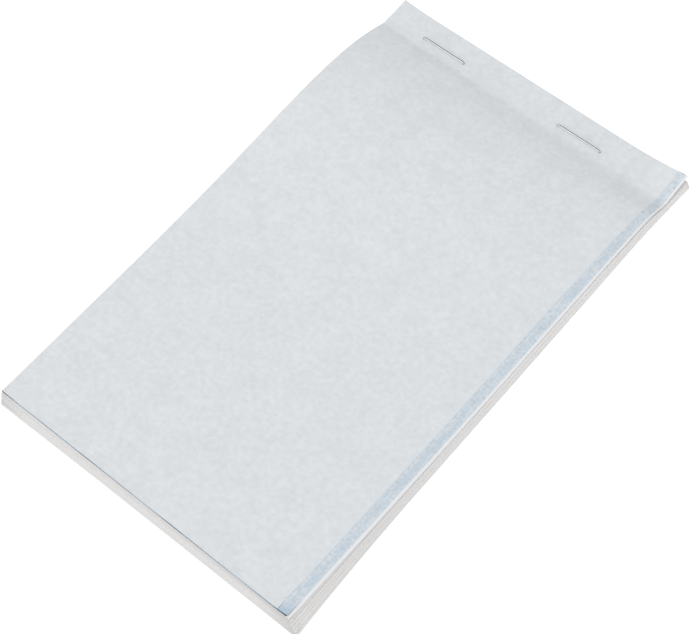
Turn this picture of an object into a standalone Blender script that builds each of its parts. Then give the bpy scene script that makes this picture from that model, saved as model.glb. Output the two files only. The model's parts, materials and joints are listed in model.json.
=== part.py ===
"""Order pad: a block of paper leaves and a carbon sheet, wire-stitched to a backing card.

Units are metres, with +Z up. The pad lies on its card. The stapled edge is towards +Y, and the
origin is the middle of the card's underside. Every leaf folds at one line just below the staples:
behind the line its stub is held by the staples, and in front of it the leaf is free to turn.
"""

import math

import bmesh
import bpy

MM = 0.001

# Pad
PAD_WIDTH = 94.8 * MM
PAD_LENGTH = 161 * MM
CARD_THICKNESS = 0.8 * MM

# Leaves
SECTION_COUNT = 5
LEAVES_PER_SECTION = 8
LEAF_THICKNESS = 0.055 * MM
LEAF_GAP = 0.01 * MM

# Fold line, where the stubs end and the free leaves begin
FOLD_TO_EDGE = 9.7 * MM
STUB_TO_FOLD = 0.08 * MM
FREE_LEAF_TO_FOLD = 0.25 * MM

# How the loose leaves spring up in front of the fold line
LOOSENESS = 2.5 * MM
RISE_LENGTH_LEFT = 10 * MM
RISE_LENGTH_RIGHT = 5 * MM
BULGE_LEFT = 3.3 * MM
BULGE_RIGHT = 0.8 * MM
BULGE_REACH = 30 * MM
FREE_END_FLARE = 0.8 * MM

# How the block has shuffled: upper leaves lie further in than lower ones
SHUFFLE_RIGHT_AT_FOLD = 0.3 * MM
SHUFFLE_RIGHT_AT_END = 1.4 * MM
SHUFFLE_LEFT_AT_END = 0.6 * MM
SHUFFLE_END_LEFT = 0.9 * MM
SHUFFLE_END_RIGHT = 0.1 * MM

# How the lower leaves have splayed out past the card at the two right corners
SPLAY_AT_EDGE = 1.0 * MM
SPLAY_EDGE_LENGTH = 18 * MM
SPLAY_AT_END = 1.5 * MM
SPLAY_END_LENGTH = 26 * MM
SPLAY_PAST_END = 0.75 * MM

# The carbon sheet and the top leaf are cut narrower on the right than the duplicate leaf
CARBON_TRIM_AT_FOLD = 0.65 * MM
CARBON_TRIM_AT_END = 0.8 * MM
TOP_TRIM_AT_FOLD = 3.5 * MM
TOP_TRIM_AT_END = 3.5 * MM
TOP_END_TRIM = 0.2 * MM
SIDE_BOW = 0.3 * MM

# The top three sheets curl up at both ends of the stapled edge
CURL_LEFT = 0.65 * MM
CURL_LENGTH_LEFT = 11 * MM
CURL_RIGHT = 2.0 * MM
CURL_LENGTH_RIGHT = 19 * MM

# Staples
WIRE_DIAMETER = 0.5 * MM
STAPLE_CROWN = 14.2 * MM
STAPLE_LEFT_TO_SIDE = 18.8 * MM
STAPLE_LEFT_TO_EDGE = 6.9 * MM
STAPLE_RIGHT_TO_SIDE = 30.15 * MM
STAPLE_RIGHT_TO_EDGE = 7.3 * MM
STAPLE_BEND_RADIUS = 0.6 * MM
CLINCH_LENGTH = 4.8 * MM
WIRE_CLEARANCE = 0.06 * MM
CROWN_GAP = 0.07 * MM
CLINCH_RECESS = 0.03 * MM

# Mesh fineness
LEAF_COLUMNS = 2
LEAF_ROWS = 14
LEAF_ROW_SPREAD = 1.9
STUB_COLUMNS = 16
STUB_ROWS = 3
BEND_STEPS = 4
WIRE_BEVEL_RESOLUTION = 2

LEAF_COUNT = SECTION_COUNT * LEAVES_PER_SECTION
SHEET_COUNT = LEAF_COUNT + 3
DUPLICATE_LEVEL = LEAF_COUNT
CARBON_LEVEL = LEAF_COUNT + 1
TOP_LEVEL = LEAF_COUNT + 2
LEAF_PITCH = LEAF_THICKNESS + LEAF_GAP
FOLD_Y = PAD_LENGTH / 2 - FOLD_TO_EDGE
FOLD_Z = CARD_THICKNESS + LEAF_GAP + TOP_LEVEL * LEAF_PITCH + LEAF_THICKNESS / 2
LEAF_REACH = FOLD_Y + PAD_LENGTH / 2
WIRE_RADIUS = WIRE_DIAMETER / 2

# Each staple's name and the middle of its crown
STAPLES = (
    ("left", STAPLE_LEFT_TO_SIDE - PAD_WIDTH / 2, PAD_LENGTH / 2 - STAPLE_LEFT_TO_EDGE),
    ("right", PAD_WIDTH / 2 - STAPLE_RIGHT_TO_SIDE, PAD_LENGTH / 2 - STAPLE_RIGHT_TO_EDGE),
)

PAPER = ("white_paper", "#F0EFEC", 0.85, 0.0)
TOP_PAPER = ("thin_paper", "#DADEE1", 0.75, 0.0)
CARBON = ("blue_carbon", "#BFCFDD", 0.6, 0.0)
BOARD = ("grey_board", "#D6D2CC", 0.9, 0.0)
STEEL = ("staple_wire", "#A3A5A8", 0.35, 1.0)


def linear(hex_colour):
    """A colour written as sRGB hex, as linear RGBA."""
    shares = [int(hex_colour[n : n + 2], 16) / 255 for n in (1, 3, 5)]
    return [s / 12.92 if s <= 0.04045 else ((s + 0.055) / 1.055) ** 2.4 for s in shares] + [1.0]


def material(name, hex_colour, roughness, metallic):
    made = bpy.data.materials.get(name)
    if made is None:
        made = bpy.data.materials.new(name)
        made.use_nodes = True
        shader = made.node_tree.nodes["Principled BSDF"]
        shader.inputs["Base Color"].default_value = linear(hex_colour)
        shader.inputs["Roughness"].default_value = roughness
        shader.inputs["Metallic"].default_value = metallic
    return made


def mix(start, end, share):
    return start + (end - start) * share


def put(obj, name, finish, parent, collection):
    """Names a new object, gives it its finish and places it in the model's tree."""
    obj.name = obj.data.name = name
    for held_by in list(obj.users_collection):
        held_by.objects.unlink(obj)
    collection.objects.link(obj)
    obj.data.materials.append(material(*finish))
    obj.parent = parent
    return obj


def pivot(name, parent, place, collection):
    """An empty that carries the pieces of one body, on that body's axis."""
    made = bpy.data.objects.new(name, None)
    made.empty_display_size = 5 * MM
    collection.objects.link(made)
    made.parent = parent
    made.location = place
    return made


def level_height(level):
    """The underside of a sheet where the staples hold it."""
    return CARD_THICKNESS + LEAF_GAP + level * LEAF_PITCH


def level_share(level):
    """A sheet's place in the block: near 0 on the card, and 1 for the top leaf."""
    return (level + 1) / SHEET_COUNT


def spring_up(x, reach):
    """How far the whole block rises above its stapled thickness, this far in front of the fold line."""
    side = 0.5 + x / PAD_WIDTH
    rise_length = mix(RISE_LENGTH_LEFT, RISE_LENGTH_RIGHT, side)
    bulge = mix(BULGE_LEFT, BULGE_RIGHT, side)
    at_bulge = reach / BULGE_REACH
    loosened = LOOSENESS * (1 - math.exp(-((reach / rise_length) ** 2)))
    hump = bulge * at_bulge * math.exp((1 - at_bulge**2) / 2)
    return loosened + hump + FREE_END_FLARE * (reach / LEAF_REACH) ** 3


def corner_curl(x, back):
    """How far the top three sheets curl up at the stapled edge's corners, this far behind the fold line."""
    left = max(0.0, 1 - (PAD_WIDTH / 2 + x) / CURL_LENGTH_LEFT)
    right = max(0.0, 1 - (PAD_WIDTH / 2 - x) / CURL_LENGTH_RIGHT)
    return (CURL_LEFT * left**2 + CURL_RIGHT * right**2) * back / FOLD_TO_EDGE


def corner_splay(reach):
    """How far the lowest leaf stands out on the right, this far in front of the fold line."""
    at_edge = SPLAY_AT_EDGE * math.exp(-(FOLD_TO_EDGE + reach) / SPLAY_EDGE_LENGTH)
    at_end = SPLAY_AT_END * math.exp(-(LEAF_REACH - reach) / SPLAY_END_LENGTH)
    return at_edge + at_end


def right_trim(level, along):
    """How much narrower a sheet is cut on the right, from the fold line (0) to the free end (1)."""
    if level == CARBON_LEVEL:
        return mix(CARBON_TRIM_AT_FOLD, CARBON_TRIM_AT_END, along)
    if level == TOP_LEVEL:
        return mix(TOP_TRIM_AT_FOLD, TOP_TRIM_AT_END, along)
    return 0.0


def side_bow(level, along):
    """How far the right edge of one of the top three sheets bows out, most at half its length."""
    return 4 * SIDE_BOW * along * (1 - along) if level >= DUPLICATE_LEVEL else 0.0


def sheet_sides(level, reach):
    """Left and right edges of a sheet, this far in front of the fold line, or behind it where negative."""
    share = level_share(level)
    along = max(0.0, reach / LEAF_REACH)
    left = -PAD_WIDTH / 2 + share * SHUFFLE_LEFT_AT_END * along
    shuffled = share * mix(SHUFFLE_RIGHT_AT_FOLD, SHUFFLE_RIGHT_AT_END, along)
    splayed = (1 - share) * corner_splay(reach) + side_bow(level, along)
    return left, PAD_WIDTH / 2 - shuffled + splayed - right_trim(level, along)


def sheet_reach(level, across):
    """How far a sheet runs from the fold line to its free end, from its left side (0) to its right (1)."""
    share = level_share(level)
    trim = TOP_END_TRIM if level == TOP_LEVEL else 0.0
    shuffled = share * mix(SHUFFLE_END_LEFT, SHUFFLE_END_RIGHT, across)
    return LEAF_REACH - shuffled + (1 - share) * SPLAY_PAST_END * across - trim


def thicken(obj, thickness):
    """Gives an open sheet its thickness, with the same triangles on both faces."""
    obj.modifiers.new("facets", "TRIANGULATE").quad_method = "FIXED"
    paper = obj.modifiers.new("thickness", "SOLIDIFY")
    paper.thickness = thickness
    paper.offset = 1.0


def open_sheet(columns, rows, shape):
    """A grid whose points go where shape(across, along) puts them, each share from 0 to 1."""
    bpy.ops.mesh.primitive_grid_add(x_subdivisions=columns, y_subdivisions=rows, size=1)
    obj = bpy.context.object
    for vertex in obj.data.vertices:
        vertex.co = shape(vertex.co.x + 0.5, 0.5 - vertex.co.y)
    return obj


def free_leaf(name, level, finish, parent, collection):
    """A sheet from just in front of the fold line to its free end, with its origin on the fold line."""

    def shape(across, along):
        reach = mix(FREE_LEAF_TO_FOLD, sheet_reach(level, across), along**LEAF_ROW_SPREAD)
        x = mix(*sheet_sides(level, reach), across)
        z = level_height(level) + level_share(level) * spring_up(x, reach)
        return x, -reach, z - FOLD_Z

    obj = open_sheet(LEAF_COLUMNS, LEAF_ROWS, shape)
    thicken(obj, LEAF_THICKNESS)
    return put(obj, name, finish, parent, collection)


def as_cutter(obj):
    obj.hide_render = True
    obj.display_type = "WIRE"
    return obj


def cut_by(obj, cutters):
    for cutter in cutters:
        hole = obj.modifiers.new(cutter.name, "BOOLEAN")
        hole.operation = "DIFFERENCE"
        hole.solver = "EXACT"
        hole.object = cutter


def trim_cutter(level, parent, collection):
    """A block that takes a stub's right margin off, level with the edge of its free leaf."""
    margin = right_trim(level, 0.0)
    edge = sheet_sides(level, 0.0)[1]
    size = (2 * margin, 2 * FOLD_TO_EDGE, 4 * CURL_RIGHT)
    centre = (edge + margin, FOLD_Y + FOLD_TO_EDGE / 2, level_height(level))
    return as_cutter(slab(f"trim_{level}", size, centre, PAPER, parent, collection, ()))


def sheet_stub(name, level, finish, parent, collection, cutters):
    """The held end of one of the top three sheets, pierced by the staples and curled at the corners."""

    def shape(across, along):
        back = mix(FOLD_TO_EDGE, STUB_TO_FOLD, along)
        x = mix(*sheet_sides(DUPLICATE_LEVEL, -back), across)
        return x, FOLD_Y + back, level_height(level) + corner_curl(x, back)

    obj = open_sheet(STUB_COLUMNS, STUB_ROWS, shape)
    thicken(obj, LEAF_THICKNESS)
    cut_by(obj, cutters)
    return put(obj, name, finish, parent, collection)


def slab(name, size, centre, finish, parent, collection, cutters):
    bpy.ops.mesh.primitive_cube_add(size=1)
    obj = bpy.context.object
    for vertex in obj.data.vertices:
        vertex.co = [centre[n] + vertex.co[n] * size[n] for n in range(3)]
    cut_by(obj, cutters)
    return put(obj, name, finish, parent, collection)


def section_stub(section, parent, collection, cutters):
    """The held ends of one section's leaves, pressed into one tight block by the staples."""
    first = section * LEAVES_PER_SECTION
    last = first + LEAVES_PER_SECTION - 1

    def shape(across, along):
        back = mix(FOLD_TO_EDGE, STUB_TO_FOLD, along)
        return mix(*sheet_sides(last, -back), across), FOLD_Y + back, level_height(first)

    obj = open_sheet(1, STUB_ROWS, shape)
    thicken(obj, level_height(last) + LEAF_THICKNESS - level_height(first))
    cut_by(obj, cutters)
    return put(obj, f"stub_{section + 1}", PAPER, parent, collection)


def bend(centre, start_angle, end_angle):
    """Points of one rounded bend of the staple, in the XZ plane."""
    for step in range(BEND_STEPS + 1):
        angle = math.radians(mix(start_angle, end_angle, step / BEND_STEPS))
        yield (
            centre[0] + STAPLE_BEND_RADIUS * math.cos(angle),
            centre[1] + STAPLE_BEND_RADIUS * math.sin(angle),
        )


def staple_half_path():
    """The right half of a staple, from the middle of its crown to its clinched end."""
    leg = STAPLE_CROWN / 2 - WIRE_RADIUS
    crown = level_height(TOP_LEVEL) + LEAF_THICKNESS + CROWN_GAP + WIRE_RADIUS
    clinch = CLINCH_RECESS + WIRE_RADIUS
    inner = leg - STAPLE_BEND_RADIUS
    points = list(bend((inner, crown - STAPLE_BEND_RADIUS), 90, 0))
    points += bend((inner, clinch + STAPLE_BEND_RADIUS), 0, -90)
    return points + [(leg - CLINCH_LENGTH, clinch)]


def staple_wire(name, place, radius):
    """A staple of this wire radius, as one closed mesh."""
    half = staple_half_path()
    points = [(-x, z) for x, z in reversed(half)] + half
    curve = bpy.data.curves.new(name, "CURVE")
    curve.dimensions = "3D"
    curve.bevel_depth = radius
    curve.bevel_resolution = WIRE_BEVEL_RESOLUTION
    curve.use_fill_caps = True
    spline = curve.splines.new("POLY")
    spline.points.add(len(points) - 1)
    for point, (x, z) in zip(spline.points, points):
        point.co = (x, 0, z, 1)
    guide = bpy.data.objects.new(name, curve)
    bpy.context.scene.collection.objects.link(guide)
    bpy.context.view_layer.update()
    mesh = bpy.data.meshes.new_from_object(guide.evaluated_get(bpy.context.evaluated_depsgraph_get()))
    bpy.data.objects.remove(guide)
    shell = bmesh.new()
    shell.from_mesh(mesh)
    bmesh.ops.remove_doubles(shell, verts=shell.verts, dist=0.001 * MM)
    bmesh.ops.recalc_face_normals(shell, faces=shell.faces)
    shell.to_mesh(mesh)
    shell.free()
    mesh.shade_smooth()
    obj = bpy.data.objects.new(name, mesh)
    bpy.context.scene.collection.objects.link(obj)
    obj.location = (*place, 0)
    return obj


def staples(parent, collection, cutter_collection):
    """Both staples, and the fatter copies that pierce the sheets and let the clinch into the card."""
    cutters = []
    for side, *place in STAPLES:
        put(staple_wire("wire", place, WIRE_RADIUS), f"staple_{side}", STEEL, parent, collection)
        cutter = staple_wire("pierce", place, WIRE_RADIUS + WIRE_CLEARANCE)
        put(cutter, f"pierce_{side}", STEEL, parent, cutter_collection)
        cutters.append(as_cutter(cutter))
    return cutters


def main():
    for obj in list(bpy.data.objects):
        bpy.data.objects.remove(obj)
    pad = bpy.data.collections.new("order_pad")
    tools = bpy.data.collections.new("cutters")
    for collection in (pad, tools):
        bpy.context.scene.collection.children.link(collection)

    base = pivot("pad_base", None, (0, 0, 0), pad)
    cutters = staples(base, pad, tools)
    card_size = (PAD_WIDTH, PAD_LENGTH, CARD_THICKNESS)
    slab("backing_card", card_size, (0, 0, CARD_THICKNESS / 2), BOARD, base, pad, cutters)

    hinge = pivot("section_1", base, (0, FOLD_Y, FOLD_Z), pad)
    for section in range(SECTION_COUNT):
        section_stub(section, base, pad, cutters)
        if section:
            hinge = pivot(f"section_{section + 1}", hinge, (0, 0, 0), pad)
        for place in range(LEAVES_PER_SECTION):
            level = section * LEAVES_PER_SECTION + place
            free_leaf(f"leaf_{level + 1:02d}", level, PAPER, hinge, pad)

    top_sheets = (
        ("duplicate_stub", "duplicate_leaf", DUPLICATE_LEVEL, PAPER),
        ("carbon_stub", "carbon_sheet", CARBON_LEVEL, CARBON),
        ("top_leaf_stub", "top_leaf", TOP_LEVEL, TOP_PAPER),
    )
    for stub_name, leaf_name, level, finish in top_sheets:
        trims = [trim_cutter(level, base, tools)] if right_trim(level, 0.0) else []
        sheet_stub(stub_name, level, finish, base, pad, cutters + trims)
        hinge = pivot(f"{leaf_name}_fold", hinge, (0, 0, 0), pad)
        free_leaf(leaf_name, level, finish, hinge, pad)


main()
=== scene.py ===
"""Order pad: the looks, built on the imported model.

The pad lies on its card with the stapled edge towards +Y. Each sheet is two pieces that meet at the fold
line below the staples: a stub that the staples hold, and a free leaf that turns. Lengths are metres.
"""

import json
import math
import random

import bmesh
import bpy
from bpy.props import FloatProperty, FloatVectorProperty, PointerProperty
from bpy.types import Operator, Panel, PropertyGroup
from mathutils import Matrix, Vector, noise


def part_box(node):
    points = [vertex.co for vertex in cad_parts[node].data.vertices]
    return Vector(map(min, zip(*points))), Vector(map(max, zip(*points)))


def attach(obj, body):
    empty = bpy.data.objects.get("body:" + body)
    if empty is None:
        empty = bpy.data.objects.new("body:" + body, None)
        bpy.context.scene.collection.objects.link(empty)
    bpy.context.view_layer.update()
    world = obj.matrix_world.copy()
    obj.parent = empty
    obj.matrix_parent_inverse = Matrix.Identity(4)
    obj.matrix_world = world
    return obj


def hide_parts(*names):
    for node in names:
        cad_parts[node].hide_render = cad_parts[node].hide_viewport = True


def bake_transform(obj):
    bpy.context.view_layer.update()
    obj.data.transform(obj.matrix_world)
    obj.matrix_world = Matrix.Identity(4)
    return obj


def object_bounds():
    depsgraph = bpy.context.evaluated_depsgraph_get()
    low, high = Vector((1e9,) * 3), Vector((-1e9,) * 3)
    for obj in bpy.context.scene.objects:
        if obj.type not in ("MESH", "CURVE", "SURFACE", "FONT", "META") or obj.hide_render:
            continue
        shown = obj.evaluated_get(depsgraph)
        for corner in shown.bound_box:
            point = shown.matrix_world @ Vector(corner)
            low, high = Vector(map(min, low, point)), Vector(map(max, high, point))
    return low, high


bl_info = {
    "name": "Order Pad",
    "version": (1, 0, 0),
    "blender": (4, 5, 0),
    "location": "View3D > Sidebar > Order Pad",
    "description": "Builds a stapled order pad with a carbon sheet round its packed frame",
    "category": "Object",
}

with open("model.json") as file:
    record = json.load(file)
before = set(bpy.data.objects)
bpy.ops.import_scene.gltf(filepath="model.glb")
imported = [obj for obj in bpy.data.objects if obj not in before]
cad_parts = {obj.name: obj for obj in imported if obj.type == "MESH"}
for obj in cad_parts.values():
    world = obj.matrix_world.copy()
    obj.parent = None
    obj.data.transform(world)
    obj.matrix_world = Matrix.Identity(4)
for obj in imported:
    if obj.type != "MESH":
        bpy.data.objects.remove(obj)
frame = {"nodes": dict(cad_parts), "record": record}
CAD_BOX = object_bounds()
MM = 0.001

# What the frame says of the pad
CARD_LOW, CARD_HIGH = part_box("backing_card")
STAPLE_BOXES = {name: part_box(name) for name in ("staple_left", "staple_right")}
BODY_NODES = frame["record"]["behaviour"]["bodies"]
SECTION_BODIES = sorted(name for name in BODY_NODES if name.startswith("section_"))
LEAVES_PER_SECTION = len(BODY_NODES[SECTION_BODIES[0]])
LEAF_COUNT = LEAVES_PER_SECTION * len(SECTION_BODIES)
SHEET_COUNT = LEAF_COUNT + 3
DUPLICATE_LEVEL = LEAF_COUNT
CARBON_LEVEL = LEAF_COUNT + 1
TOP_LEVEL = LEAF_COUNT + 2

# How unevenly the leaves lie
SHUFFLE_SEED = 40
SPACING_JITTER = 0.3
SECTION_SPACING = 3.4
UNDER_DUPLICATE_SPACING = 3.2
OVER_DUPLICATE_SPACING = 0.06
EDGE_FULLNESS = 0.98
TINT_RUN = 3.2
# The lower leaves lean to TINT_LOW and are whiter: painted light from the glowing floor under the block
TINT_LOW = 0.3
TINT_HIGH = 0.75
TINT_SWING = 0.8
RISE_SPREAD = 2.5
FOLD_STEP_AT = 1.4 * MM
FOLD_STEP_LENGTH = 1.5 * MM
FOLD_STEP_FADE = 0.5
HUMP_START = 4 * MM
TUCK_START = 0.77
TUCK_RANGE = 0.06
TUCK_LEFT = 0.2
COCKLE_HEIGHT = 0.07 * MM
COCKLE_LENGTH = 26 * MM

# Where the staples pull the sheets in
DENT_DEPTH = 0.14 * MM
DENT_RADIUS = 1.3 * MM
HOLE_RADIUS = 0.33 * MM
HOLE_SIDES = 20

# Where the carbon sheet's finish finds its fold, in millimetres from its free end
FOLD_FROM_END = 151

# Where the carbon sheet's coat shows, at its free end and at its stapled edge
INK_PATCHES = 9
INK_LEAST = 0.1
INK_MORE = 1.4
INK_CORNER_RIGHT = 0.05
INK_CORNER_LEFT = 0.06
INK_LEFT_SHARE = 0.2
INK_SEED_END = 1341.25
INK_SEED_EDGE = 8
# At the free end's right corner the widened line is also painted shadow under the lifted corner
INK_AND_SHADOW_CORNER_END = 1.4
INK_CORNER_EDGE = 0.1

# Mesh fineness
LEAF_COLUMNS = 8
LEAF_ROWS = 44
TOP_COLUMNS = 40
TOP_ROWS = 84
ROW_SPREAD = 1.8
STUB_ROWS = 12
STUB_COLUMNS = 64
WIRE_SIDES = 16
WIRE_SLANT = 0.8
BEND_STEPS = 9

# The photograph's camera, fitted to the pad's corners
PHOTO_WIDTH = 691
CAMERA_AZIMUTH = 39.602
CAMERA_ELEVATION = 59.848
CAMERA_ROLL = 0.301
CAMERA_OFFSET = (2.32 * MM, -6.11 * MM)
CAMERA_DISTANCE = 511 * MM
FOCAL_PIXELS = 1994
SENSOR_WIDTH = 36

# The studio
FLOOR_SIZE = 20
FLOOR_DROP = 0.05 * MM
FLOOR_GREY = "#606060"
FLOOR_GLOW = 1.06
TENT_GLOW = 0.85
TENT_FALL = -0.25
FLAG_STARTS = -0.4
FLAG_FULL = 0.2
FLAG_BRIGHT = 1.25
FLAG_DARK = 0.02
KEY_SIZE = 1.3
KEY_WATTS = 10
KEY_PLACE = Vector((-0.6, -1.28, 1.69))


def linear(hex_colour):
    """A colour written as sRGB hex, as linear RGBA."""
    shares = [int(hex_colour[n : n + 2], 16) / 255 for n in (1, 3, 5)]
    return [s / 12.92 if s <= 0.04045 else ((s + 0.055) / 1.055) ** 2.4 for s in shares] + [1.0]


def mix(start, end, share):
    """The value this share of the way from start to end."""
    return start + (end - start) * share


def size(name, description, default):
    """A length that a user may change."""
    return FloatProperty(
        name=name, description=description, default=default, min=0, unit="LENGTH", precision=5
    )


def colour(name, description, default):
    """A colour that a user may change."""
    return FloatVectorProperty(
        name=name, description=description, default=linear(default), subtype="COLOR", size=4, min=0, max=1
    )


class OrderPadSizes(PropertyGroup):
    """Sizes of the block, its sheets and its staples."""

    pad_width: size("Pad width", "Across the stapled edge", CARD_HIGH.x - CARD_LOW.x)
    pad_length: size("Pad length", "From the stapled edge to the free end", CARD_HIGH.y - CARD_LOW.y)
    card_thickness: size("Card thickness", "Backing card", CARD_HIGH.z - CARD_LOW.z)
    leaf_thickness: size("Leaf thickness", "One sheet", 0.055 * MM)
    leaf_gap: size("Leaf gap", "Air between two sheets under the staples", 0.01 * MM)
    fold_to_edge: size("Fold to edge", "From the fold line to the stapled edge", 9.7 * MM)
    looseness: size("Looseness", "How much thicker the free leaves lie than the stubs", 2.5 * MM)
    fold_step: size("Fold step", "Soft step at the fold line", 1.0 * MM)
    rise_left: size("Rise on the left", "How soon the leaves spring up there", 11 * MM)
    rise_right: size("Rise on the right", "How soon the leaves spring up there", 5.5 * MM)
    bulge_left: size("Bulge on the left", "Hump in front of the fold line", 3.3 * MM)
    bulge_right: size("Bulge on the right", "Hump in front of the fold line", 0.8 * MM)
    bulge_reach: size("Bulge reach", "From the fold line to the top of the hump", 30 * MM)
    end_flare: size("End flare", "How much the free ends spread", 0.8 * MM)
    shuffle_at_fold: size("Shuffle at the fold", "How far in the top sheets lie on the right", 0.3 * MM)
    shuffle_at_end: size("Shuffle at the end", "How far in the top sheets lie on the right", 1.4 * MM)
    shuffle_left: size("Shuffle on the left", "How far in the top sheets lie at the free end", 0.6 * MM)
    shuffle_end_left: size("Shuffle of the ends, left", "How far back the top sheets end", 0.9 * MM)
    shuffle_end_right: size("Shuffle of the ends, right", "How far back the top sheets end", 0.1 * MM)
    splay_at_edge: size("Splay at the edge", "How far the lowest leaves stand out on the right", 1.0 * MM)
    splay_edge_length: size("Splay length at the edge", "How soon that splay dies away", 18 * MM)
    splay_at_end: size("Splay at the end", "How far the lowest leaves stand out on the right", 1.5 * MM)
    splay_end_length: size("Splay length at the end", "How soon that splay dies away", 26 * MM)
    splay_past_end: size("Splay past the end", "How far the lowest leaves pass the corner", 0.75 * MM)
    ledge: size("Ledge", "How far the upper leaves draw back at the stapled corner", 1.7 * MM)
    ledge_length: size("Ledge length", "How soon that ledge dies away along the side", 80 * MM)
    ledge_end: size("Ledge at the end", "How far they draw back at the free end's right corner", 0.9 * MM)
    flick: size("Flick", "Lift of the carbon sheet's free right corner", 0.35 * MM)
    flick_length: size("Flick length", "How far that lift runs along the free end", 8 * MM)
    flick_depth: size("Flick depth", "How far that lift runs up the side", 3.5 * MM)
    side_bow: size("Side bow", "How far the top sheets' right edges bow out", 0.3 * MM)
    trim_jitter: size("Trim jitter", "How unevenly the leaves are stacked", 0.08 * MM)
    carbon_trim_fold: size("Carbon trim at the fold", "White margin beside the carbon sheet", 0.65 * MM)
    carbon_trim_end: size("Carbon trim at the end", "White margin beside the carbon sheet", 0.8 * MM)
    top_trim_fold: size("Top trim at the fold", "Margin beside the top leaf", 2.7 * MM)
    top_trim_end: size("Top trim at the end", "Margin beside the top leaf", 3.5 * MM)
    top_end_trim: size("Top end trim", "How much shorter the top leaf is", 0.2 * MM)
    ink_edge: size("Ink edge", "Dark cut edge of the carbon sheet", 0.145 * MM)
    curl_left: size("Curl on the left", "Lift of the top sheets at the stapled corner", 0.65 * MM)
    curl_length_left: size("Curl length on the left", "How far it runs along the stapled edge", 11 * MM)
    curl_right: size("Curl on the right", "Lift of the top sheets at the stapled corner", 2.0 * MM)
    curl_length_right: size("Curl length on the right", "How far it runs along the stapled edge", 19 * MM)
    wire_diameter: size("Wire diameter", "Staple wire", 0.5 * MM)
    staple_bend: size("Staple bend", "Radius of the staple's corners", 0.6 * MM)
    clinch_length: size("Clinch length", "Bent end of a staple leg under the card", 4.8 * MM)


class OrderPadColours(PropertyGroup):
    """Colours of the papers, the carbon sheet, the card and the wire."""

    top_paper: colour("Top leaf", "Thin bank paper", "#DEE2E5")
    leaf_paper: colour("Leaves", "White paper of the block", "#E8EBEE")
    leaf_cream: colour("Warm leaves", "The warmest of the block's leaves", "#EBE7E4")
    carbon_blue: colour("Carbon tissue", "Uncoated back of the carbon sheet", "#CAD6E0")
    carbon_pale: colour("Worn tissue", "Paler patches of the carbon sheet's back", "#D9E0E6")
    carbon_ink: colour("Carbon ink", "Coated face and cut edge of the carbon sheet", "#141C2B")
    board: colour("Card", "Grey board", "#D2CEC9")
    wire: colour("Wire", "Zinc-coated steel", "#F1F2F3")


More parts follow.
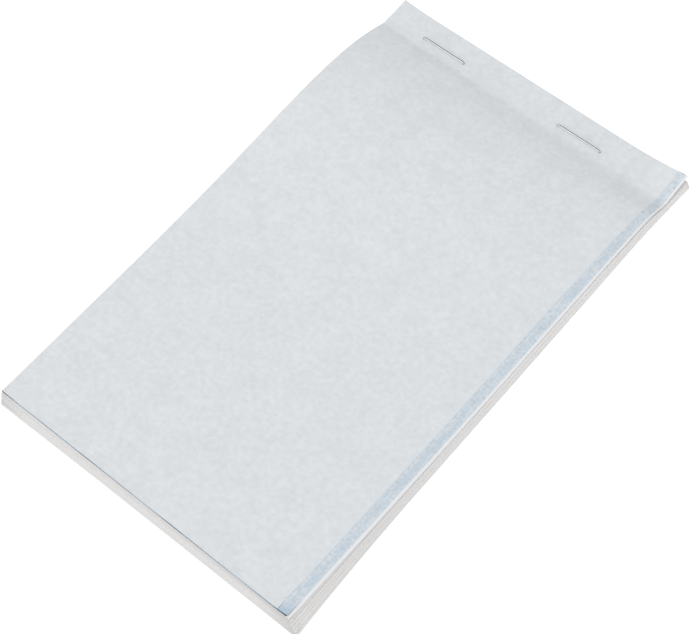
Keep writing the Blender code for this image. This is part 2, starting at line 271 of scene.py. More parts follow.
class Block:
    """Where each sheet of the stapled block lies. Levels count up from the card."""

    def __init__(self, sizes):
        self.sizes = sizes
        self.fold_y = sizes.pad_length / 2 - sizes.fold_to_edge
        self.fold_z = self.height(TOP_LEVEL) + sizes.leaf_thickness / 2
        self.leaf_reach = self.fold_y + sizes.pad_length / 2
        dice = random.Random(SHUFFLE_SEED)
        self.shares = [self.spaced_shares(dice) for _ in range(2)]
        self.sideways = [dice.uniform(-1, 1) * sizes.trim_jitter for _ in range(LEAF_COUNT)] + [0.0] * 3
        self.endways = [dice.uniform(-1, 1) * sizes.trim_jitter for _ in range(LEAF_COUNT)] + [0.0] * 3
        self.tints = [self.run_tint(level) for level in range(LEAF_COUNT)] + [0.0] * 3
        self.legs = staple_legs(sizes)

    def spaced_shares(self, dice):
        """Each sheet's share of the block's spring, wider between sections and under the duplicate leaf."""
        total, running = 0.0, []
        for level in range(SHEET_COUNT):
            step = 1 + dice.uniform(-1, 1) * SPACING_JITTER
            if level == DUPLICATE_LEVEL:
                step *= UNDER_DUPLICATE_SPACING
            elif level > DUPLICATE_LEVEL:
                step *= OVER_DUPLICATE_SPACING
            elif level < LEAF_COUNT and level % LEAVES_PER_SECTION == 0:
                step *= SECTION_SPACING
            total += step
            running.append(total)
        return [value / total for value in running]

    def run_tint(self, level):
        """How warm a leaf is: runs of like leaves at random, and the lower ones whiter, which is painted
        light from the glowing floor.
        """
        run = noise.noise(Vector((level / TINT_RUN, SHUFFLE_SEED, 0)))
        return min(1.0, max(0.0, mix(TINT_LOW, TINT_HIGH, self.share(level)) + TINT_SWING * run))

    def height(self, level):
        """The underside of a sheet where the staples hold it."""
        sizes = self.sizes
        return sizes.card_thickness + sizes.leaf_gap + level * (sizes.leaf_thickness + sizes.leaf_gap)

    def share(self, level):
        """How high a sheet lies in the block, up to 1 for the top leaf."""
        return (level + 1) / SHEET_COUNT

    def spring_up(self, x, reach):
        """How far the whole block rises above its stapled thickness, this far in front of the fold line."""
        sizes = self.sizes
        side = max(0.0, 0.5 + x / sizes.pad_width)
        step = sizes.fold_step * (1 - FOLD_STEP_FADE * side**2)
        softer = 1 + side**2
        stepped = step * (1 + math.tanh((reach / softer - FOLD_STEP_AT) / FOLD_STEP_LENGTH)) / 2
        if reach <= 0:
            return stepped
        rise_length = mix(sizes.rise_left, sizes.rise_right, side**RISE_SPREAD)
        loosened = (sizes.looseness - step) * (1 - math.exp(-((reach / rise_length) ** 2)))
        started = 1 - math.exp(-((reach / HUMP_START) ** 2))
        bulge = mix(sizes.bulge_left, sizes.bulge_right, side) * started
        at_bulge = reach / sizes.bulge_reach
        hump = bulge * at_bulge * math.exp((1 - at_bulge**2) / 2)
        return stepped + loosened + hump + sizes.end_flare * (reach / self.leaf_reach) ** 3

    def right_trim(self, level, along):
        """How much narrower one of the top three sheets is cut on the right."""
        sizes = self.sizes
        bow = 4 * sizes.side_bow * along * (1 - along)
        if level == DUPLICATE_LEVEL:
            return -bow
        if level == CARBON_LEVEL:
            return mix(sizes.carbon_trim_fold, sizes.carbon_trim_end, along) - bow
        if level == TOP_LEVEL:
            return mix(sizes.top_trim_fold, sizes.top_trim_end, min(1.0, 3 * along)) - bow
        return 0.0

    def splay(self, reach):
        """How far the lowest leaf stands out on the right, this far in front of the fold line."""
        sizes = self.sizes
        at_edge = sizes.splay_at_edge * math.exp(-(sizes.fold_to_edge + reach) / sizes.splay_edge_length)
        at_end = sizes.splay_at_end * math.exp(-(self.leaf_reach - reach) / sizes.splay_end_length)
        return at_edge + at_end

    def sides(self, level, reach):
        """Left and right edges of a sheet, this far in front of the fold line, less than 0 behind it."""
        sizes = self.sizes
        share = self.share(level)
        along = max(0.0, reach / self.leaf_reach)
        left = -sizes.pad_width / 2 + share * sizes.shuffle_left * along
        shuffled = share * mix(sizes.shuffle_at_fold, sizes.shuffle_at_end, along)
        splayed = (1 - share) * self.splay(reach)
        right = sizes.pad_width / 2 - shuffled + splayed - self.right_trim(level, along)
        faded = math.exp(-(sizes.fold_to_edge + reach) / sizes.ledge_length)
        right -= self.tucked(level) * sizes.ledge * faded
        stray = self.sideways[level] * along
        return left + stray, right + stray

    def tucked(self, level):
        """How fully a leaf draws back under the duplicate leaf: the top section does."""
        if level >= LEAF_COUNT:
            return 0.0
        return min(1.0, max(0.0, (self.share(level) - TUCK_START) / TUCK_RANGE))

    def reach(self, level, across):
        """From the fold line to a sheet's free end, between its left side (0) and its right (1)."""
        sizes = self.sizes
        share = self.share(level)
        trim = sizes.top_end_trim if level == TOP_LEVEL else 0.0
        shuffled = share * mix(sizes.shuffle_end_left, sizes.shuffle_end_right, across)
        splayed = (1 - share) * sizes.splay_past_end * across
        drawn_back = self.tucked(level) * sizes.ledge_end * mix(TUCK_LEFT, 1, across**2)
        return self.leaf_reach - shuffled + splayed - trim - drawn_back + self.endways[level]

    def free_height(self, level, x, reach):
        """The underside of a free leaf."""
        along = reach / self.leaf_reach
        share = mix(self.shares[0][level], self.shares[1][level], along)
        wave = noise.noise(Vector((x, reach, 0)) / COCKLE_LENGTH)
        cockle = self.share(level) * COCKLE_HEIGHT * wave * min(1.0, reach / COCKLE_LENGTH)
        sprung = self.height(level) + share * self.spring_up(x, reach)
        return sprung + cockle + self.flick(level, x, reach)

    def flick(self, level, x, reach):
        """How far the carbon sheet's free right corner stands up, and the top leaf with it."""
        if level < CARBON_LEVEL:
            return 0.0
        from_end = max(0.0, 1 - (self.reach(CARBON_LEVEL, 1.0) - reach) / self.sizes.flick_depth)
        from_side = max(0.0, 1 - (self.sides(CARBON_LEVEL, reach)[1] - x) / self.sizes.flick_length)
        return self.sizes.flick * from_end**2 * from_side**2

    def thickness(self, level, x, reach):
        """A sheet's thickness: the last leaf of a section is drawn as full as the one below it."""
        full = 0.0
        if level < LEAF_COUNT:
            rooms = [shares[level] - shares[level - 1] for shares in self.shares]
            full = EDGE_FULLNESS * mix(*rooms, max(0.0, reach / self.leaf_reach)) * self.spring_up(x, reach)
        return self.sizes.leaf_thickness + full

    def stub_height(self, level, x, back):
        """The underside of a stub, this far behind the fold line."""
        sizes = self.sizes
        lift = 0.0
        if level >= DUPLICATE_LEVEL:
            left = max(0.0, 1 - (sizes.pad_width / 2 + x) / sizes.curl_length_left)
            right = max(0.0, 1 - (sizes.pad_width / 2 - x) / sizes.curl_length_right)
            lift = (sizes.curl_left * left**2 + sizes.curl_right * right**2) * back / sizes.fold_to_edge
        pulled = sum(
            math.exp(-(((x - leg_x) ** 2 + (self.fold_y + back - leg_y) ** 2) / DENT_RADIUS**2))
            for leg_x, leg_y in self.legs
        )
        lift += self.shares[0][level] * self.spring_up(x, -back)
        return self.height(level) + lift - self.share(level) * DENT_DEPTH * pulled


def staple_legs(sizes):
    """Where the four legs go through the sheets."""
    legs = []
    for low, high in STAPLE_BOXES.values():
        middle = (low.y + high.y) / 2
        legs += [(low.x + sizes.wire_diameter / 2, middle), (high.x - sizes.wire_diameter / 2, middle)]
    return legs


def sheet_top(block, level, point):
    """Gives a sheet's upper face. Inside a section burrs close the gaps: a leaf reaches the next one."""
    inside = level < LEAF_COUNT and (level + 1) % LEAVES_PER_SECTION

    def top(place, across, along):
        if inside:
            following = point(across, along, level + 1)
            return Vector((following.x, following.y, mix(place.z, following.z, EDGE_FULLNESS)))
        return place + Vector((0, 0, block.thickness(level, place.x, block.fold_y - place.y)))

    return top


def add_sheet(shell, columns, rows, point, top, slots=(0, 0, 1, 1), row_slot=None):
    """Adds a closed thin sheet: point(column share, row share) is on its underside, rows run towards -Y.

    top(place, column share, row share) is on its upper face. slots are the finishes of the upper face, the
    under face, the cut sides and the cut ends, and row_slot may give a row of the upper face another one.
    """
    shares = [[(c / columns, r / rows) for c in range(columns + 1)] for r in range(rows + 1)]
    low = [[shell.verts.new(point(*share)) for share in row] for row in shares]
    high = [[shell.verts.new(top(v.co, *share)) for v, share in zip(*pair)] for pair in zip(low, shares)]

    def face(corners, slot):
        made = shell.faces.new(corners)
        made.material_index = slot
        made.smooth = True

    for r in range(rows):
        upper = slots[0] if row_slot is None else row_slot(r)
        for c in range(columns):
            face((high[r][c], high[r + 1][c], high[r + 1][c + 1], high[r][c + 1]), upper)
            face((low[r][c], low[r][c + 1], low[r + 1][c + 1], low[r + 1][c]), slots[1])
        face((low[r + 1][0], high[r + 1][0], high[r][0], low[r][0]), slots[2])
        face((low[r][-1], high[r][-1], high[r + 1][-1], low[r + 1][-1]), slots[2])
    for c in range(columns):
        face((low[0][c], high[0][c], high[0][c + 1], low[0][c + 1]), slots[3])
        face((low[-1][c + 1], high[-1][c + 1], high[-1][c], low[-1][c]), slots[3])
    for row in (low, high):
        ring = row[0] + [r[-1] for r in row[1:]] + row[-1][-2::-1] + [r[0] for r in row[-2:0:-1]]
        for start, end in zip(ring, ring[1:] + ring[:1]):
            shell.edges.get((start, end)).smooth = False


def piece_from(shell, name, finishes):
    """Turns a bmesh into a named object with its finishes."""
    mesh = bpy.data.meshes.new(name)
    shell.to_mesh(mesh)
    shell.free()
    obj = bpy.data.objects.new(name, mesh)
    bpy.context.scene.collection.objects.link(obj)
    for finish in finishes:
        mesh.materials.append(finish)
    return obj


def pierced(obj, sizes):
    """Cuts the holes that the staple legs go through."""
    drill = bmesh.new()
    for leg_x, leg_y in staple_legs(sizes):
        place = Matrix.Translation((leg_x, leg_y, sizes.card_thickness + CAD_BOX[1].z / 2))
        bmesh.ops.create_cone(
            drill,
            cap_ends=True,
            segments=HOLE_SIDES,
            radius1=HOLE_RADIUS,
            radius2=HOLE_RADIUS,
            depth=CAD_BOX[1].z,
            matrix=place,
        )
    cutter = piece_from(drill, "drill", [obj.data.materials[-1]])
    hole = obj.modifiers.new("holes", "BOOLEAN")
    hole.operation = "DIFFERENCE"
    hole.solver = "EXACT"
    hole.object = cutter
    bpy.context.view_layer.update()
    cut = bpy.data.meshes.new_from_object(obj.evaluated_get(bpy.context.evaluated_depsgraph_get()))
    if not cut.polygons:
        raise RuntimeError(f"{obj.name} can't be pierced")
    obj.modifiers.clear()
    plain = obj.data
    obj.data = cut
    cut.name = obj.name
    bpy.data.meshes.remove(plain)
    bpy.data.objects.remove(cutter)
    return obj


def note(obj, name, values):
    """Keeps one number per point of a piece, for its finish to read."""
    kept = obj.data.attributes.new(name, "FLOAT", "POINT")
    kept.data.foreach_set("value", values)


def note_tint(obj, tint):
    """Keeps how warm a leaf's paper is."""
    note(obj, "leaf_tint", [tint] * len(obj.data.vertices))


def note_margins(obj, block, level):
    """Keeps each point's distance from its sheet's right edge and free end, in millimetres."""
    reaches = [block.fold_y - vertex.co.y for vertex in obj.data.vertices]
    rights = [block.sides(level, reach)[1] for reach in reaches]
    note(obj, "from_margin", [(right - v.co.x) / MM for right, v in zip(rights, obj.data.vertices)])
    note(obj, "from_end", [(block.reach(level, 1.0) - reach) / MM for reach in reaches])


def free_leaf(block, level, node, finishes, columns, rows, slots=(0, 0, 1, 1), ink=None):
    """A sheet from the fold line to its free end."""

    def point(across, along, level=level):
        length = block.reach(level, across)
        reach = length * along**ROW_SPREAD
        # The last row but one is where the ink line starts
        if ink is not None and 1 - 1.5 / rows < along < 1:
            reach = length - ink(across)
        x = mix(*block.sides(level, reach), across)
        return Vector((x, block.fold_y - reach, block.free_height(level, x, reach)))

    shell = bmesh.new()
    row_slot = None if ink is None else (lambda r: slots[3] if r == rows - 1 else slots[0])
    add_sheet(shell, columns, rows, point, sheet_top(block, level, point), slots, row_slot)
    obj = piece_from(shell, f"{node}_paper", finishes)
    note_tint(obj, block.tints[level])
    note_margins(obj, block, level)
    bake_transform(obj)
    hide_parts(node)
    return obj


def stub_rows(block, shell, level, columns, slots=(0, 0, 1, 1), ink=None):
    """Adds the held end of one sheet, from the stapled edge to the fold line."""
    edge = block.sizes.fold_to_edge + min(0.0, block.endways[level])

    def point(across, along, level=level):
        back = mix(edge, 0.0, along)
        if ink is not None and 0 < along < 1.5 / STUB_ROWS:
            back = edge - ink(across)
        x = mix(*block.sides(level, -back), across)
        return Vector((x, block.fold_y + back, block.stub_height(level, x, back)))

    row_slot = None if ink is None else (lambda r: slots[3] if r == 0 else slots[0])
    add_sheet(shell, columns, STUB_ROWS, point, sheet_top(block, level, point), slots, row_slot)


def held_stub(block, level, node, finishes, slots=(0, 0, 1, 1), ink=None):
    """The stub of one of the top three sheets."""
    shell = bmesh.new()
    stub_rows(block, shell, level, TOP_COLUMNS, slots, ink)
    obj = pierced(piece_from(shell, f"{node}_paper", finishes), block.sizes)
    note_tint(obj, block.tints[level])
    note_margins(obj, block, level)
    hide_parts(node)
    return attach(obj, "pad_base")


def add_node(tree, kind, settings=None, links=None):
    """Adds one node. settings name sockets or properties, and links join earlier outputs to its sockets."""
    node = tree.nodes.new(kind)
    for name, value in (settings or {}).items():
        if isinstance(name, int) or name in node.inputs:
            node.inputs[name].default_value = value
        else:
            setattr(node, name, value)
    for name, source in (links or {}).items():
        tree.links.new(source, node.inputs[name])
    return node


def new_finish(name, roughness, metallic=0.0):
    """A new material, its nodes and its shader."""
    made = bpy.data.materials.new(name)
    made.use_nodes = True
    shader = made.node_tree.nodes["Principled BSDF"]
    shader.inputs["Roughness"].default_value = roughness
    shader.inputs["Metallic"].default_value = metallic
    return made, made.node_tree, shader


def per(length):
    """A pattern's scale from the real size of one cell."""
    return 1 / length


def thin_paper(colours):
    """Bank paper, thin and machine-made: cloudy with fibres, matt, with rub-off from the carbon, and a
    painted shadow line along its right edge near the free end.
    """
    made, tree, shader = new_finish("thin_bank_paper", 0.72)
    place = add_node(tree, "ShaderNodeTexCoord").outputs["Object"]
    clouds = add_node(
        tree,
        "ShaderNodeTexNoise",
        {"Scale": per(1.55 * MM), "Detail": 4, "Roughness": 0.6},
        {"Vector": place},
    )
    drifts = add_node(tree, "ShaderNodeTexNoise", {"Scale": per(7 * MM), "Detail": 2}, {"Vector": place})
    specks = add_node(tree, "ShaderNodeTexNoise", {"Scale": per(0.9 * MM), "Detail": 1}, {"Vector": place})
    dark = [share * 0.935 for share in colours.top_paper[:3]] + [1]
    light = [min(1.0, share * 1.035) for share in colours.top_paper[:3]] + [1]
    cloud_share = add_node(
        tree, "ShaderNodeMapRange", {"From Min": 0.3, "From Max": 0.7}, {"Value": clouds.outputs["Fac"]}
    )
    drift_share = add_node(
        tree,
        "ShaderNodeMapRange",
        {"From Min": 0.3, "From Max": 0.7, "To Min": -0.2, "To Max": 0.2},
        {"Value": drifts.outputs["Fac"]},
    )
    formation = add_node(
        tree, "ShaderNodeMath", {"use_clamp": True}, {0: cloud_share.outputs[0], 1: drift_share.outputs[0]}
    )
    sheet = add_node(
        tree, "ShaderNodeMix", {"data_type": "RGBA", 6: dark, 7: light}, {0: formation.outputs[0]}
    )
    speck_share = add_node(
        tree,
        "ShaderNodeMapRange",
        {"From Min": 0.66, "From Max": 0.8, "To Max": 0.5},
        {"Value": specks.outputs["Fac"]},
    )
    grey = [share * 0.86 for share in colours.top_paper[:3]] + [1]
    specked = add_node(
        tree,
        "ShaderNodeMix",
        {"data_type": "RGBA", 7: grey},
        {0: speck_share.outputs[0], 6: sheet.outputs[2]},
    )
    margin = add_node(tree, "ShaderNodeAttribute", {"attribute_name": "from_margin"})
    ragged = add_node(
        tree, "ShaderNodeMath", {"operation": "MULTIPLY_ADD", 1: 2.4, 2: -1.2}, {0: clouds.outputs["Fac"]}
    )
    edge = add_node(tree, "ShaderNodeMath", {}, {0: margin.outputs["Fac"], 1: ragged.outputs[0]})
    rub_share = add_node(
        tree,
        "ShaderNodeMapRange",
        {"From Min": 1.5, "From Max": -0.2, "To Max": 0.85},
        {"Value": edge.outputs[0]},
    )
    rubbed = add_node(
        tree,
        "ShaderNodeMix",
        {"data_type": "RGBA", 7: colours.carbon_pale},
        {0: rub_share.outputs[0], 6: specked.outputs[2]},
    )
    end = add_node(tree, "ShaderNodeAttribute", {"attribute_name": "from_end"})
    # A thin dark line along the right edge near the free end: painted shadow of that edge lifting off the
    # carbon
    near_end = add_node(
        tree, "ShaderNodeMapRange", {"From Min": 9, "From Max": 1}, {"Value": end.outputs["Fac"]}
    )
    near_side = add_node(
        tree, "ShaderNodeMapRange", {"From Min": 0.16, "From Max": 0.02}, {"Value": margin.outputs["Fac"]}
    )
    edge_shadow = add_node(
        tree, "ShaderNodeMath", {"operation": "MULTIPLY"}, {0: near_end.outputs[0], 1: near_side.outputs[0]}
    )
    inky_shade = [mix(pale, ink, 0.6) for pale, ink in zip(colours.carbon_blue[:3], colours.carbon_ink[:3])] + [1]
    edge_shadowed = add_node(
        tree, "ShaderNodeMix", {"data_type": "RGBA", 7: inky_shade}, {0: edge_shadow.outputs[0], 6: rubbed.outputs[2]}
    )
    tree.links.new(edge_shadowed.outputs[2], shader.inputs["Base Color"])
    # Real fibres are about 0.03 mm wide, too fine to show, and are drawn coarser
    fibres = add_node(tree, "ShaderNodeTexNoise", {"Scale": per(0.35 * MM), "Detail": 2}, {"Vector": place})
    grain = add_node(
        tree, "ShaderNodeBump", {"Strength": 0.25, "Distance": 0.02 * MM}, {"Height": fibres.outputs["Fac"]}
    )
    tree.links.new(grain.outputs[0], shader.inputs["Normal"])
    return made


def leaf_paper(colours):
    """Uncoated white writing paper: matt, faintly cloudy, each leaf a little whiter or creamier, the lower
    leaves whiter as painted light from the floor.
    """
    made, tree, shader = new_finish("white_writing_paper", 0.85)
    place = add_node(tree, "ShaderNodeTexCoord").outputs["Object"]
    clouds = add_node(tree, "ShaderNodeTexNoise", {"Scale": per(2 * MM), "Detail": 3}, {"Vector": place})
    tint = add_node(tree, "ShaderNodeAttribute", {"attribute_name": "leaf_tint"})
    share = add_node(
        tree,
        "ShaderNodeMath",
        {"operation": "MULTIPLY"},
        {0: tint.outputs["Fac"], 1: clouds.outputs["Fac"]},
    )
    sheet = add_node(
        tree,
        "ShaderNodeMix",
        {"data_type": "RGBA", 6: colours.leaf_paper, 7: colours.leaf_cream},
        {0: share.outputs[0]},
    )
    tree.links.new(sheet.outputs[2], shader.inputs["Base Color"])
    # Real fibres are about 0.03 mm wide, too fine to show, and are drawn coarser
    fibres = add_node(tree, "ShaderNodeTexNoise", {"Scale": per(0.4 * MM), "Detail": 2}, {"Vector": place})
    grain = add_node(
        tree, "ShaderNodeBump", {"Strength": 0.2, "Distance": 0.02 * MM}, {"Height": fibres.outputs["Fac"]}
    )
    tree.links.new(grain.outputs[0], shader.inputs["Normal"])
    return made


def cut_edge(colours, name="guillotined_edge", dust_and_shade=0.93):
    """Guillotined paper edges: rougher than the face, with long warm and grey stretches of dust. One factor
    darkens them all: dust, and painted shade of the gaps between the leaves; the lower leaves are whiter as
    painted light from the floor.
    """
    made, tree, shader = new_finish(name, 0.95)
    place = add_node(tree, "ShaderNodeTexCoord").outputs["Object"]
    stretched = add_node(tree, "ShaderNodeMapping", {"Scale": (1, 1, 36)}, {"Vector": place})
    streaks = add_node(
        tree,
        "ShaderNodeTexNoise",
        {"Scale": per(18 * MM), "Detail": 3, "Roughness": 0.6},
        {"Vector": stretched.outputs[0]},
    )
    tint = add_node(tree, "ShaderNodeAttribute", {"attribute_name": "leaf_tint"})
    both = add_node(tree, "ShaderNodeMath", {}, {0: tint.outputs["Fac"], 1: streaks.outputs["Fac"]})
    share = add_node(
        tree, "ShaderNodeMapRange", {"From Min": 0.6, "From Max": 1.4}, {"Value": both.outputs[0]}
    )
    # Darkened by dust, and by painted shade of the gaps between the leaves
    warm = [part * dust_and_shade for part in colours.leaf_cream[:3]] + [1]
    white = [mix(part * dust_and_shade, cream, 0.35) for part, cream in zip(colours.leaf_paper[:3], warm)] + [1]
    edge = add_node(tree, "ShaderNodeMix", {"data_type": "RGBA", 6: white, 7: warm}, {0: share.outputs[0]})
    tree.links.new(edge.outputs[2], shader.inputs["Base Color"])
    return made


def thumbed_and_shaded_edge(colours):
    """Free ends of the leaves: guillotined like the sides, and greyer, from thumbs and as painted shade on
    that face of the block.
    """
    return cut_edge(colours, "thumbed_and_shaded_paper_edge", 0.76)


def carbon_tissue(colours):
    """The back of carbon tissue: pale blue wax showing through, worn paler in patches and at the fold, and
    darker at the free end from ink and painted shade.
    """
    made, tree, shader = new_finish("carbon_tissue_back", 0.5)
    place = add_node(tree, "ShaderNodeTexCoord").outputs["Object"]
    drawn = add_node(tree, "ShaderNodeMapping", {"Scale": (1, 0.4, 1)}, {"Vector": place})
    patches = add_node(
        tree, "ShaderNodeTexNoise", {"Scale": per(2.2 * MM), "Detail": 4}, {"Vector": drawn.outputs[0]}
    )
    flecks = add_node(tree, "ShaderNodeTexNoise", {"Scale": per(0.8 * MM), "Detail": 2}, {"Vector": place})
    margin = add_node(tree, "ShaderNodeAttribute", {"attribute_name": "from_margin"})
    from_middle = add_node(
        tree, "ShaderNodeMath", {"operation": "SUBTRACT", 1: 1.25}, {0: margin.outputs["Fac"]}
    )
    off_middle = add_node(tree, "ShaderNodeMath", {"operation": "ABSOLUTE"}, {0: from_middle.outputs[0]})
    inward = add_node(
        tree,
        "ShaderNodeMapRange",
        {"From Min": 0.3, "From Max": 1.6, "To Min": -0.2, "To Max": 0.9},
        {"Value": off_middle.outputs[0]},
    )
    worn = add_node(
        tree,
        "ShaderNodeMapRange",
        {"From Min": 0.36, "From Max": 0.64},
        {"Value": patches.outputs["Fac"]},
    )
    end = add_node(tree, "ShaderNodeAttribute", {"attribute_name": "from_end"})
    near_staples = add_node(
        tree,
        "ShaderNodeMapRange",
        {"From Min": 112, "From Max": 138, "To Max": 0.45},
        {"Value": end.outputs["Fac"]},
    )
    past_fold = add_node(
        tree, "ShaderNodeMath", {"operation": "SUBTRACT", 1: FOLD_FROM_END}, {0: end.outputs["Fac"]}
    )
    off_fold = add_node(tree, "ShaderNodeMath", {"operation": "ABSOLUTE"}, {0: past_fold.outputs[0]})
    at_fold = add_node(
        tree,
        "ShaderNodeMapRange",
        {"From Min": 8, "From Max": 1, "To Max": 0.8},
        {"Value": off_fold.outputs[0]},
    )
    creased = add_node(tree, "ShaderNodeMath", {}, {0: near_staples.outputs[0], 1: at_fold.outputs[0]})
    paler = add_node(tree, "ShaderNodeMath", {}, {0: worn.outputs[0], 1: creased.outputs[0]})
    share = add_node(
        tree, "ShaderNodeMath", {"use_clamp": True}, {0: paler.outputs[0], 1: inward.outputs[0]}
    )
    tissue = add_node(
        tree,
        "ShaderNodeMix",
        {"data_type": "RGBA", 6: colours.carbon_blue, 7: colours.carbon_pale},
        {0: share.outputs[0]},
    )
    # Darker near the free end: ink, and painted shade along that end
    near_end = add_node(
        tree,
        "ShaderNodeMapRange",
        {"From Min": 3, "From Max": 0, "To Max": 0.9},
        {"Value": end.outputs["Fac"]},
    )
    fleck_share = add_node(
        tree,
        "ShaderNodeMapRange",
        {"From Min": 0.42, "From Max": 0.7, "To Max": 0.75},
        {"Value": flecks.outputs["Fac"]},
    )
    deep = [part * kept for part, kept in zip(colours.carbon_blue[:3], (0.84, 0.87, 0.89))] + [1]
    flecked = add_node(
        tree,
        "ShaderNodeMix",
        {"data_type": "RGBA", 7: deep},
        {0: fleck_share.outputs[0], 6: tissue.outputs[2]},
    )
    inky_shade = [part * kept for part, kept in zip(colours.carbon_blue[:3], (0.68, 0.82, 0.9))] + [1]
    inked_and_shaded = add_node(
        tree,
        "ShaderNodeMix",
        {"data_type": "RGBA", 7: inky_shade},
        {0: near_end.outputs[0], 6: flecked.outputs[2]},
    )
    tree.links.new(inked_and_shaded.outputs[2], shader.inputs["Base Color"])
    grain = add_node(
        tree, "ShaderNodeBump", {"Strength": 0.2, "Distance": 0.02 * MM}, {"Height": flecks.outputs["Fac"]}
    )
    tree.links.new(grain.outputs[0], shader.inputs["Normal"])
    return made


def carbon_ink(colours):
    """The coated face of carbon tissue: a near-black blue wax film with a soft gloss and rubbed patches."""
    made, tree, shader = new_finish("carbon_wax_coat", 0.42)
    place = add_node(tree, "ShaderNodeTexCoord").outputs["Object"]
    rubs = add_node(tree, "ShaderNodeTexNoise", {"Scale": per(5 * MM), "Detail": 5}, {"Vector": place})
    share = add_node(
        tree,
        "ShaderNodeMapRange",
        {"From Min": 0.45, "From Max": 0.8, "To Max": 0.35},
        {"Value": rubs.outputs["Fac"]},
    )
    lighter = [min(1.0, part * 2.6 + 0.01) for part in colours.carbon_ink[:3]] + [1]
    coat = add_node(
        tree,
        "ShaderNodeMix",
        {"data_type": "RGBA", 6: colours.carbon_ink, 7: lighter},
        {0: share.outputs[0]},
    )
    tree.links.new(coat.outputs[2], shader.inputs["Base Color"])
    return made


def grey_board(colours):
    """Grey board from waste paper: matt, felted, with pale fibres and a few dark flecks."""
    made, tree, shader = new_finish("grey_waste_board", 0.92)
    place = add_node(tree, "ShaderNodeTexCoord").outputs["Object"]
    felt = add_node(
        tree,
        "ShaderNodeTexNoise",
        {"Scale": per(1.8 * MM), "Detail": 5, "Roughness": 0.65},
        {"Vector": place},
    )
    flecks = add_node(tree, "ShaderNodeTexNoise", {"Scale": per(0.7 * MM), "Detail": 1}, {"Vector": place})
    dark = [part * 0.84 for part in colours.board[:3]] + [1]
    light = [min(1.0, part * 1.1) for part in colours.board[:3]] + [1]
    share = add_node(
        tree, "ShaderNodeMapRange", {"From Min": 0.3, "From Max": 0.7}, {"Value": felt.outputs["Fac"]}
    )
    board = add_node(tree, "ShaderNodeMix", {"data_type": "RGBA", 6: dark, 7: light}, {0: share.outputs[0]})
    fleck_share = add_node(
        tree,
        "ShaderNodeMapRange",
        {"From Min": 0.68, "From Max": 0.74, "To Max": 0.5},
        {"Value": flecks.outputs["Fac"]},
    )
    fleck = [part * 0.5 for part in colours.board[:3]] + [1]
    flecked = add_node(
        tree,
        "ShaderNodeMix",
        {"data_type": "RGBA", 7: fleck},
        {0: fleck_share.outputs[0], 6: board.outputs[2]},
    )
    tree.links.new(flecked.outputs[2], shader.inputs["Base Color"])
    grain = add_node(
        tree, "ShaderNodeBump", {"Strength": 0.4, "Distance": 0.05 * MM}, {"Height": felt.outputs["Fac"]}
    )
    tree.links.new(grain.outputs[0], shader.inputs["Normal"])
    return made


def staple_steel(colours):
    """Zinc-coated steel wire, drawn through a die: bright, a little soft, with fine lines along it."""
    made, tree, shader = new_finish("zinc_coated_wire", 0.2, 1.0)
    place = add_node(tree, "ShaderNodeTexCoord").outputs["Object"]
    stretched = add_node(tree, "ShaderNodeMapping", {"Scale": (0.008, 1, 1)}, {"Vector": place})
    # Die lines are about 0.01 mm apart, too fine to show, and are drawn coarser
    lines = add_node(
        tree, "ShaderNodeTexNoise", {"Scale": per(0.12 * MM), "Detail": 2}, {"Vector": stretched.outputs[0]}
    )
    spangle = add_node(tree, "ShaderNodeTexNoise", {"Scale": per(1.1 * MM), "Detail": 3}, {"Vector": place})
    dull = [part * 0.95 for part in colours.wire[:3]] + [1]
    zinc = add_node(
        tree, "ShaderNodeMix", {"data_type": "RGBA", 6: dull, 7: colours.wire}, {0: spangle.outputs["Fac"]}
    )
    tree.links.new(zinc.outputs[2], shader.inputs["Base Color"])
    drawn = add_node(
        tree, "ShaderNodeBump", {"Strength": 0.005, "Distance": 0.01 * MM}, {"Height": lines.outputs["Fac"]}
    )
    tree.links.new(drawn.outputs[0], shader.inputs["Normal"])
    return made


FINISHES = {}


def finish(maker, colours):
    """One of the finishes above, made once."""
    made = FINISHES.get(maker)
    if made is None:
        made = FINISHES[maker] = maker(colours)
    return made


def block_and_colours(context):
    """The block that the sizes give, and the colours."""
    return Block(context.scene.order_pad_sizes), context.scene.order_pad_colours


def ink_edge(block, seed, corner_share):
    """How far the dark coat shows past the carbon sheet's cut edge, from left (0) to right (1); towards the
    corners the line widens, and at the free end's right corner that is partly painted shadow under the
    lifted corner.
    """

    def width(across):
        patchy = 0.5 + 0.5 * noise.noise(Vector((across * INK_PATCHES, seed, 0)))
        right = (across - (1 - INK_CORNER_RIGHT)) / INK_CORNER_RIGHT
        left = INK_LEFT_SHARE * (INK_CORNER_LEFT - across) / INK_CORNER_LEFT
        corner = corner_share * max(0.0, right, left)
        return block.sizes.ink_edge * (INK_LEAST + INK_MORE * patchy**2 + corner)

    return width


class ORDERPAD_OT_backing_card(Operator):
    """Finish the backing card."""

    bl_idname = "order_pad.backing_card"
    bl_label = "Backing Card"

    def execute(self, context):
        colours = context.scene.order_pad_colours
        card = frame["nodes"]["backing_card"]
        card.data.materials.clear()
        card.data.materials.append(finish(grey_board, colours))
        return {"FINISHED"}


